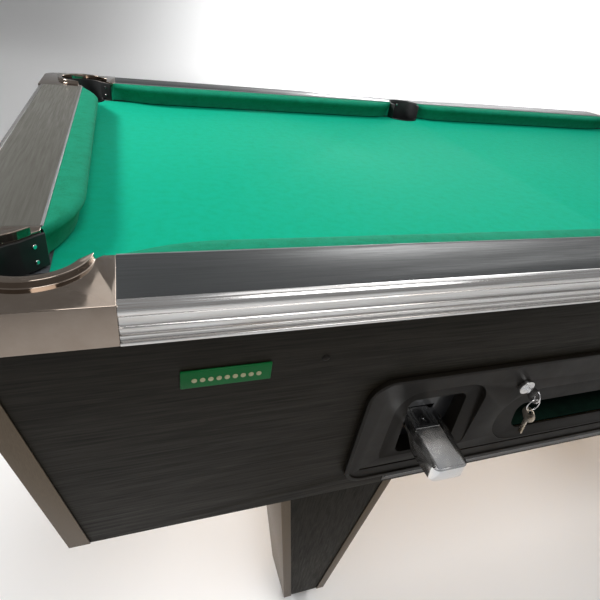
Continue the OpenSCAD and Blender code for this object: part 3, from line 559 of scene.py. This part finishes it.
@dataclass(frozen=True)
class Palette:
    """Every material of the table, each made once."""

    # Worsted wool, woven and brushed: flat, deep green and nearly without gloss
    bed_cloth: Material = made(NappedCloth("worsted_bed_cloth", "08A887", "069E79"))
    # The cushions' cloth is the bed's cloth painted darker and duller: painted shade of the cushions'
    # shadowed walls
    cushion_cloth: Material = made(NappedCloth("worsted_cushion_cloth", "17896A", "117556"))
    # Melamine board pressed with an ash grain: satin, with fine streaks along the board
    # The long and end rails are one board in two colours: the end rails are painted lighter than the long
    # rails, as painted reflection of brighter surroundings
    rail_x: Material = made(AshLaminate("ash_laminate_rail_long", "343637", "2A2C2D", Axis.X))
    rail_y: Material = made(AshLaminate("ash_laminate_rail_end", "5E5D57", "504E47", Axis.Y))
    side_x: Material = made(AshLaminate("ash_laminate_side", "252119", "181510", Axis.X, 0.5, gloss=0.12))
    side_y: Material = made(AshLaminate("ash_laminate_end", "252119", "181510", Axis.Y, 0.5, gloss=0.12))
    side_z: Material = made(AshLaminate("ash_laminate_leg", "252119", "181510", Axis.Z, 0.5, gloss=0.12))
    # Extruded aluminium, brushed and anodised: bright ridges with drawn-out highlights
    trim_x: Material = made(BrushedMetal("anodised_aluminium_long", "CFC8C1", Axis.X, 0.16))
    trim_y: Material = made(BrushedMetal("anodised_aluminium_end", "CFC8C1", Axis.Y, 0.16))
    # Rolled aluminium with a satin lacquer: a dull silver, its dark brown tint painted reflection of the
    # floor
    cladding: Material = made(
        BrushedMetal("satin_aluminium_cladding", "61564A", Axis.Z, 0.42, 0.8 * MM, "6D6255"))
    # Zinc, die-cast, polished and chromed: a mirror with slow waves, its warm, dark tint painted
    # reflection of dim, warm surroundings
    chrome: Material = made(Plating("chromed_zinc_casting", "94867A", 0.02, bright="A4988D"))
    # Steel, turned or stamped, then chromed: small bright highlights
    small_chrome: Material = made(Plating("chromed_steel", "DADCE0", 0.09, 0.03 * MM))
    slide: Material = made(Plating("satin_chromed_slide", "E6E9EE", 0.1, 0.02 * MM))
    # Rolled steel, zinc plated: a dull, even grey
    zinc: Material = made(BrushedMetal("zinc_plated_steel", "8E9196", Axis.X, 0.38))
    # Nickel brass, stamped: a pale gold with soft reflections
    brass: Material = made(Plating("nickel_brass", "B79A63", 0.22, 0.02 * MM))
    # Rubber, moulded: black with a dull grain
    liner: Material = made(
        Moulding("moulded_rubber_liner", "151617", 0.5, 1.2 * MM, 0.1 * MM, "262829"))
    # ABS sheet, vacuum formed: black-brown and satin, so that only its edges catch light
    door: Material = made(
        Moulding("vacuum_formed_abs", "15120E", 0.42, 0.9 * MM, 0.03 * MM, "1A1611", gloss=0.13))
    # PVC, extruded: a smooth mid-grey bead
    edging: Material = made(
        Moulding("extruded_pvc_edging", "6E7072", 0.35, 0.9 * MM, 0.03 * MM, "8A8D90"))
    # Enamel, sprayed on steel: black under a thin clear gloss
    enamel: Material = made(
        Moulding("black_enamel", "17181A", 0.3, 1.0 * MM, 0.03 * MM, "242526", 0.4))
    # Plastic, injection moulded: one deep green through
    badge: Material = made(
        Moulding("injection_moulded_badge", "06612D", 0.35, 0.9 * MM, 0.02 * MM, "0A6E36", 0.1, 0.1))
    # Paint, rolled on the raised dots: a pale, dull cream
    badge_pale: Material = made(
        Moulding("badge_relief_paint", "A9A982", 0.45, 0.9 * MM, 0.02 * MM, "B6B48E"))
    # PVC sheet, hot formed: a dull mid-grey
    runway: Material = made(
        Moulding("formed_grey_pvc", "53575B", 0.55, 1.2 * MM, 0.05 * MM, "64686C"))
    # Wool felt, pressed: nearly black
    tray: Material = made(NappedCloth("tray_felt", "0B1F17", "06120D"))
    # Pine, sawn: pale, with broad growth rings
    timber: Material = made(AshLaminate("sawn_pine", "CDA873", "A57F4D", Axis.X, 0.7, figure=0.07))
    # Slate, sawn and honed: grey with soft clouds
    slate: Material = made(Stone("honed_slate"))


# ---- The table's parts ----


@dataclass
class Bed:
    """The slate, its timber frame and the cloth stretched over it."""

    palette: Palette
    fall_radius: float = 1.5 * MM

    def build(self) -> None:
        """Dress the slate and timber, and make the cloth."""
        dress_nodes(self.palette.slate, "slate_bed")
        dress_nodes(self.palette.timber, "slate_frame")
        cloth = softened("bed_cloth", "stretched_bed_cloth", self.fall_radius / 2, 3)
        finish_piece(cloth, "table", self.palette.bed_cloth, "bed_cloth", "bed_cloth")


@dataclass
class Cushions:
    """The six cloth-covered rubber cushions, with jaws that curve into the pockets."""

    palette: Palette
    corner_jaw: float = 215 * MM
    middle_jaw: float = 96 * MM
    jaw_gap: float = 32 * MM
    liner: float = 49 * MM
    end_depth: float = 2.5 * MM
    jaw_steps: int = 30
    middle_steps: int = 24
    nose_row: int = 8  # the section's point at the nose, under which the cushion is undercut
    gap: float = 0.3 * MM
    fold_angle: float = 50.0
    top: float = 44 * MM
    # The section from the rail's top, over the nose, to the bed: share of the depth, drop below the top
    section: tuple[tuple[float, float], ...] = (
        (0.0, 0.6), (0.04, 0.0), (0.25, 0.0), (0.5, 0.4), (0.7, 1.2), (0.84, 2.4), (0.93, 4.0),
        (0.985, 6.2), (1.0, 8.6), (0.99, 11.0), (0.95, 13.4), (0.88, 17.5), (0.8, 23.0), (0.73, 30.0),
        (0.68, 36.5), (0.66, 41.5), (0.0, 41.5),
    )

    def jaw_run(self, radius: float, depth: float) -> float:
        """Length along the rail over which a jaw of a radius turns back by a depth."""
        return math.sqrt(2 * radius * depth - depth * depth)

    def stations(
        self, ends: tuple[float, float], jaws: tuple[float, float], depth: float
    ) -> list[tuple[float, float]]:
        """Places along a cushion with the cushion's depth at each.

        Args:
            ends: Where the two jaws reach the rail.
            jaws: Radius of the jaw at each end.
            depth: Full depth of the cushion.

        Returns:
            Pairs of a place along the rail and a depth.
        """
        out = []
        for end, radius, way in ((ends[0], jaws[0], 1), (ends[1], jaws[1], -1)):
            run = self.jaw_run(radius, depth)
            side = []
            for i in range(self.jaw_steps + 1):
                along = run * (1 - math.cos(math.pi / 2 * i / self.jaw_steps))
                rise = radius - math.sqrt(radius**2 - (run - along) ** 2)
                side.append((end + way * along, max(depth - rise, self.end_depth)))
            out.append(side if way > 0 else side[::-1])
        gap = out[1][0][0] - out[0][-1][0]
        first = out[0][-1][0]
        middle = [(first + gap * i / self.middle_steps, depth) for i in range(1, self.middle_steps)]
        return out[0] + middle + out[1]

    def skin(
        self, name: str, stations: list[tuple[float, float]], rail: float, turn: Matrix
    ) -> Piece:
        """Lay a grid over the stations and the section, and close it.

        Args:
            name: Name of the piece.
            stations: Places along the rail and depths.
            rail: Distance of the rail's inner edge from the middle of the table.
            turn: Turn from the +Y side to the cushion's side.

        Returns:
            The cushion.
        """
        deselect()
        rows, columns = len(stations), len(self.section)
        bpy.ops.mesh.primitive_grid_add(x_subdivisions=rows - 1, y_subdivisions=columns - 1, size=1)
        piece = bpy.context.object
        piece.name = name
        full = max(depth for _, depth in stations)
        for vertex in piece.data.vertices:
            i = round((vertex.co.x + 0.5) * (rows - 1))
            j = round((vertex.co.y + 0.5) * (columns - 1))
            along, depth = stations[i]
            share, drop = self.section[j]
            undercut = (1 - share) * full if self.nose_row < j < columns - 1 else (1 - share) * depth
            out = max(depth - undercut, self.gap) if share > 0 else 0.0
            vertex.co = turn @ Vector((along, rail - out, self.top - drop * MM))
        activate(piece)
        bpy.ops.object.mode_set(mode="EDIT")
        bpy.ops.mesh.select_all(action="DESELECT")
        bpy.ops.mesh.select_mode(type="EDGE")
        bpy.ops.mesh.select_non_manifold(extend=False)
        bpy.ops.mesh.fill()
        bpy.ops.mesh.select_all(action="SELECT")
        bpy.ops.mesh.normals_make_consistent(inside=False)
        bpy.ops.object.mode_set(mode="OBJECT")
        smooth(piece, self.fold_angle)
        return piece

    def build(self) -> None:
        """Make all six cushions."""
        low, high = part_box("cushion_back_right")
        depth, half_w, rail_y = high.y - low.y, low.y, high.y
        half_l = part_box("cushion_right")[0].x
        long_ends = (self.liner, half_l - self.jaw_gap)
        spans = self.stations(long_ends, (self.middle_jaw, self.corner_jaw), depth)
        mirrored = [(-x, d) for x, d in reversed(spans)]
        half_turn = Matrix.Rotation(math.pi, 3, "Z")
        for name, places, turn in (
            ("cushion_back_right", spans, Matrix.Identity(3)),
            ("cushion_back_left", mirrored, Matrix.Identity(3)),
            ("cushion_front_left", spans, half_turn),
            ("cushion_front_right", mirrored, half_turn),
        ):
            self.place(self.skin(name.replace("cushion", "rubber_cushion"), places, rail_y, turn), name)
        reach = half_w - self.jaw_gap
        ends = self.stations((-reach, reach), (self.corner_jaw, self.corner_jaw), depth)
        rail_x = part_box("cushion_right")[1].x
        for name, angle in (("cushion_right", -math.pi / 2), ("cushion_left", math.pi / 2)):
            turn = Matrix.Rotation(angle, 3, "Z")
            self.place(self.skin(name.replace("cushion", "rubber_cushion"), ends, rail_x, turn), name)

    def place(self, piece: Piece, node: str) -> None:
        """Hang one cushion in place of its CAD solid."""
        finish_piece(piece, "table", self.palette.cushion_cloth, "cushion_cloth", node)


@dataclass
class Rails:
    """The laminated rails, their trims and edgings, and the chrome corners."""

    palette: Palette
    bead: float = 1.6 * MM
    bead_sides: int = 12
    bead_edge: float = 0.4 * MM
    middle_gap: float = 50 * MM  # half of the room for a middle pocket
    board_edge: float = 0.8 * MM
    trim_edge: float = 0.45 * MM
    casting_edge: float = 2.2 * MM

    def build(self) -> None:
        """Make the rails and everything on them."""
        for side, material in (
            ("front", self.palette.rail_x), ("back", self.palette.rail_x),
            ("left", self.palette.rail_y), ("right", self.palette.rail_y),
        ):
            board = softened("rail_" + side, "rail_board_" + side, self.board_edge)
            finish_piece(board, "table", material, "rail_laminate", "rail_" + side)
            self.edging(side)
        for node, material in (("side_trims", self.palette.trim_x), ("end_trims", self.palette.trim_y)):
            trim = softened(node, "extruded_" + node, self.trim_edge)
            finish_piece(trim, "table", material, "anodised_trim", node)
        for corner in CORNERS:
            node = "corner_casting_" + corner
            casting = softened(node, "chromed_corner_" + corner, self.casting_edge, 4, 40)
            finish_piece(casting, "table", self.palette.chrome, "corner_chrome", node)

    def edging(self, side: str) -> None:
        """Lay the grey bead between a rail's laminate and the cushion cloth."""
        low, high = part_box("rail_" + side)
        long = side in ("front", "back")
        spans = [(low.x, high.x)] if long else [(low.y, high.y)]
        if long:
            spans = [(low.x, -self.middle_gap), (self.middle_gap, high.x)]
        for number, (start, end) in enumerate(spans):
            deselect()
            bpy.ops.mesh.primitive_cylinder_add(
                vertices=self.bead_sides, radius=self.bead, depth=end - start
            )
            piece = bpy.context.object
            piece.name = f"edging_{side}_{number}"
            inner = {"front": high.y, "back": low.y, "left": high.x, "right": low.x}[side]
            middle = (start + end) / 2
            z = high.z - 0.6 * self.bead
            spot = (middle, inner, z) if long else (inner, middle, z)
            turn = Matrix.Rotation(math.pi / 2, 4, "Y" if long else "X")
            piece.matrix_world = Matrix.Translation(spot) @ turn
            set_in_place(piece)
            round_edges(piece, self.bead_edge, 2, 60)
            smooth(piece)
            finish_piece(piece, "table", self.palette.edging, "liner_plastic")


@dataclass
class Pockets:
    """The pocket liners with their screws, and the chutes under them."""

    palette: Palette
    liner_edge: float = 1.0 * MM
    screw_edge: float = 0.7 * MM

    def build(self) -> None:
        """Make the liners and screws and dress the chutes."""
        for node in ("corner_liners", "middle_liners"):
            liner = softened(node, "moulded_" + node, self.liner_edge, 3)
            finish_piece(liner, "table", self.palette.liner, "liner_plastic", node)
        screws = softened("liner_screws", "domed_liner_screws", self.screw_edge, 3)
        finish_piece(screws, "table", self.palette.small_chrome, "screw_steel", "liner_screws")
        dress_nodes(self.palette.runway, "drop_chutes")
        dress_nodes(self.palette.zinc, "rail_bolts")


@dataclass
class Cabinet:
    """The four sides, the floor, the corner angles and the badge."""

    palette: Palette
    panel_edge: float = 0.5 * MM
    angle_edge: float = 0.6 * MM
    badge_edge: float = 1.3 * MM
    dots: int = 9
    dot_gap: float = 9 * MM
    dot_r: float = 3.0 * MM
    dot_h: float = 1.2 * MM
    dot_edge: float = 0.4 * MM
    badge_middle: tuple[float, float, float] = (-771 * MM, -3.2 * MM, -69 * MM)
    cap_middle: tuple[float, float, float] = (-654 * MM, 0.0, -60 * MM)
    cap_r: float = 5 * MM
    cap_flatness: float = 0.35

    def build(self) -> None:
        """Make the visible cabinet."""
        for node, material in (
            ("side_panel_front", self.palette.side_x), ("side_panel_back", self.palette.side_x),
            ("end_panel_left", self.palette.side_y), ("end_panel_right", self.palette.side_y),
        ):
            panel = softened(node, node.replace("panel", "board"), self.panel_edge)
            finish_piece(panel, "table", material, "cabinet_laminate", node)
        dress_nodes(self.palette.timber, "cabinet_floor")
        angles = softened("corner_strips", "corner_angles", self.angle_edge)
        finish_piece(angles, "table", self.palette.cladding, "silver_cladding", "corner_strips")
        self.badge()
        self.screw_cap()

    def badge(self) -> None:
        """Make the name plate without a name: a bevelled plate with a row of ball dots."""
        plate = softened("badge", "bevelled_badge", self.badge_edge, 3)
        finish_piece(plate, "table", self.palette.badge, "badge_plastic", "badge")
        deselect()
        bpy.ops.mesh.primitive_cylinder_add(
            vertices=20, radius=self.dot_r, depth=self.dot_h, rotation=(math.pi / 2, 0, 0),
            location=self.badge_middle,
        )
        first = bpy.context.object
        set_in_place(first)
        round_edges(first, self.dot_edge, 2)
        shape = first.data.copy()
        bpy.data.objects.remove(first)
        for number in range(self.dots):
            dot = bpy.data.objects.new(f"badge_dot_{number}", shape.copy())
            bpy.context.scene.collection.objects.link(dot)
            dot.location.x = (number - (self.dots - 1) / 2) * self.dot_gap
            set_in_place(dot)
            lay_on_front(dot)
            smooth(dot)
            finish_piece(dot, "table", self.palette.badge_pale, "badge_plastic")

    def screw_cap(self) -> None:
        """Put a domed cap over a panel screw."""
        deselect()
        bpy.ops.mesh.primitive_uv_sphere_add(
            segments=20, ring_count=10, radius=self.cap_r, location=self.cap_middle,
            rotation=(math.pi / 2, 0, 0),
        )
        cap = bpy.context.object
        cap.name = "panel_screw_cap"
        cap.scale = (1, 1, self.cap_flatness)
        set_in_place(cap)
        lay_on_front(cap)
        smooth(cap)
        finish_piece(cap, "table", self.palette.door, "door_plastic")


@dataclass
class Legs:
    """The four tapered legs with silver side faces, and the levelling feet."""

    palette: Palette
    leg_edge: float = 0.6 * MM
    foot_edge: float = 0.8 * MM
    cladding_edge: float = 0.5 * MM

    def build(self) -> None:
        """Make the legs, their cladding and the feet."""
        for corner in CORNERS:
            leg = softened("leg_" + corner, "tapered_leg_" + corner, self.leg_edge)
            finish_piece(leg, "table", self.palette.side_z, "cabinet_laminate", "leg_" + corner)
            foot = softened("foot_" + corner, "levelling_foot_" + corner, self.foot_edge, 2, 25)
            finish_piece(foot, "foot_" + corner, self.palette.enamel, "foot_enamel", "foot_" + corner)
        cladding = softened("leg_cladding", "folded_leg_cladding", self.cladding_edge)
        finish_piece(cladding, "table", self.palette.cladding, "silver_cladding", "leg_cladding")


@dataclass
class FrontDoor:
    """The vacuum-formed door with its hinge."""

    palette: Palette
    edge: float = 1.4 * MM

    def build(self) -> None:
        """Make the door and dress its hinge."""
        door = softened("front_door", "formed_front_door", self.edge, 3, 35)
        finish_piece(door, "door", self.palette.door, "door_plastic", "front_door")
        dress_nodes(self.palette.enamel, "hinge_cabinet_leaf", "hinge_door_leaf", "hinge_pin")


@dataclass
class CoinMechanism:
    """The coin slide and what it works."""

    palette: Palette
    edge: float = 0.45 * MM

    def build(self) -> None:
        """Make the slide and dress the works behind it."""
        slide = softened("coin_slide", "chromed_coin_slide", self.edge, 2, 35)
        finish_piece(slide, "coin_push", self.palette.slide, "slide_chrome", "coin_slide")
        dress_nodes(self.palette.enamel, "mech_housing")
        dress_nodes(self.palette.zinc, "lever_pin", "lever_spring")
        dress_nodes(self.palette.brass, "release_lever", "trap_flap")


@dataclass
class Lock:
    """The cam lock, its key, and the spare key on its ring."""

    palette: Palette
    edge: float = 0.35 * MM

    def build(self) -> None:
        """Make the lock and the keys."""
        for node, body, material, slot in (
            ("lock_barrel", "door", self.palette.small_chrome, "slide_chrome"),
            ("lock_plug", "lock", self.palette.small_chrome, "slide_chrome"),
            ("key", "lock", self.palette.small_chrome, "slide_chrome"),
            ("spare_key", "spare_keys", self.palette.brass, "brass"),
        ):
            piece = softened(node, "turned_" + node, self.edge, 2, 35)
            finish_piece(piece, body, material, slot, node)
        dress_nodes(self.palette.zinc, "lock_cam")
        dress_nodes(self.palette.small_chrome, "key_ring")


@dataclass
class BallReturn:
    """The runways, the tray behind the slot and the cash box."""

    palette: Palette
    tray_edge: float = 1.0 * MM

    def build(self) -> None:
        """Dress the pieces inside the cabinet."""
        dress_nodes(self.palette.runway, "ball_runways")
        tray = softened("ball_tray", "felted_ball_tray", self.tray_edge)
        finish_piece(tray, "table", self.palette.tray, "tray_lining", "ball_tray")
        dress_nodes(self.palette.zinc, "cash_box")


@dataclass(frozen=True)
class SoftLight:
    """A square panel that shines softly."""

    name: str
    place: tuple[float, float, float]
    aim: tuple[float, float, float]
    size: float
    power: float  # in watts
    spread: float  # in degrees

    def build(self) -> None:
        """Hang the panel at its place and turn it to what it lights."""
        data = bpy.data.lights.new(self.name, "AREA")
        data.shape = "SQUARE"
        data.size = self.size
        data.energy = self.power
        data.spread = math.radians(self.spread)
        light = bpy.data.objects.new(self.name, data)
        look = (Vector(self.aim) - Vector(self.place)).to_track_quat("-Z", "Y")
        light.matrix_world = Matrix.Translation(self.place) @ look.to_matrix().to_4x4()
        bpy.context.scene.collection.objects.link(light)


@dataclass
class Studio:
    """The pale floor, the soft lights and the camera."""

    lens: float = 28.945
    camera_place: tuple[float, float, float] = (-0.8581, -0.9781, 0.2924)
    camera_right: tuple[float, float, float] = (0.9460, -0.3032, 0.1149)
    camera_up: tuple[float, float, float] = (0.0692, 0.5348, 0.8422)
    sweep_before: float = 7.0  # floor in front of the table's middle
    sweep_flat: float = 5.0  # floor behind the table's middle, before it curves up
    sweep_radius: float = 2.5
    sweep_length: float = 24.0
    sweep_width: float = 24.0
    sweep_rows: int = 48
    sweep_away: tuple[float, float, float] = (0.6, 0.8, 0.0)
    sweep_side: tuple[float, float, float] = (0.8, -0.6, 0.0)
    ambient: float = 0.26
    panels: tuple[SoftLight, ...] = (
        SoftLight("overhead", (0.3, 1.1, 2.3), (0.1, 0.2, 0), 2.6, 15.0, 150),
        SoftLight("window", (-2.7, 1.0, 1.6), (-0.4, 0.0, 0), 0.6, 29.0, 120),
        SoftLight("floor", (0.8, 2.3, -0.1), (0.3, 0.4, -0.8), 0.9, 22.0, 90),
        SoftLight("backdrop", (2.2, 4.6, 3.6), (4.4, 7.6, 0.6), 3.0, 330.0, 120),
        SoftLight("front", (-0.2, -1.7, 2.6), (-0.2, -0.4, 0), 1.6, 16.0, 110),
    )

    def build(self) -> None:
        """Set up the studio."""
        self.camera()
        self.floor()
        self.lights()

    def camera(self) -> None:
        """Put the camera at the near left corner, looking down along the table."""
        right = Vector(self.camera_right).normalized()
        up = Vector(self.camera_up)
        up = (up - right * up.dot(right)).normalized()
        back = right.cross(up)
        turn = Matrix((right, up, back)).transposed()
        data = bpy.data.cameras.new("camera")
        data.lens = self.lens
        data.sensor_width = 36
        data.clip_start = 0.01
        camera = bpy.data.objects.new("camera", data)
        camera.matrix_world = Matrix.Translation(self.camera_place) @ turn.to_4x4()
        bpy.context.scene.collection.objects.link(camera)
        bpy.context.scene.camera = camera

    def floor(self) -> None:
        """Lay the plain floor under the feet and sweep it up far behind the table."""
        deselect()
        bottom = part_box("foot_fl")[0].z - 0.5 * MM
        bpy.ops.mesh.primitive_grid_add(x_subdivisions=1, y_subdivisions=self.sweep_rows, size=1)
        floor = bpy.context.object
        floor.name = "studio_sweep"
        away = Vector(self.sweep_away)
        side = Vector(self.sweep_side)
        for vertex in floor.data.vertices:
            along = (vertex.co.y + 0.5) * self.sweep_length - self.sweep_before
            angle = min(max((along - self.sweep_flat) / self.sweep_radius, 0.0), math.pi / 2)
            over = max(along - self.sweep_flat - self.sweep_radius * math.pi / 2, 0.0)
            out = min(along, self.sweep_flat) + self.sweep_radius * math.sin(angle)
            rise = self.sweep_radius * (1 - math.cos(angle)) + over
            sideways = side * (vertex.co.x * self.sweep_width)
            vertex.co = away * out + sideways + Vector((0, 0, bottom + rise))
        smooth(floor)
        dress(floor, Moulding("studio_paper", "FAFAFA", 0.8, 4 * MM, 0.01 * MM).build())

    def lights(self) -> None:
        """Light the table softly from above and behind, and the sweep behind it."""
        world = bpy.data.worlds.new("studio")
        bpy.context.scene.world = world
        world.use_nodes = True
        background = world.node_tree.nodes["Background"]
        background.inputs["Color"].default_value = linear("FFFFFF")
        background.inputs["Strength"].default_value = self.ambient
        for panel in self.panels:
            panel.build()
        bpy.context.scene.view_settings.view_transform = "Standard"


def main() -> None:
    """Build the studio and the table, part by part."""
    logging.basicConfig(level=logging.INFO, format="%(message)s")
    Studio().build()
    palette = Palette()
    for part in (Bed, Cushions, Rails, Pockets, Cabinet, Legs, FrontDoor, CoinMechanism, Lock, BallReturn):
        part(palette).build()
        LOG.info("%s done", part.__name__)


if __name__ == "__main__":
    main()
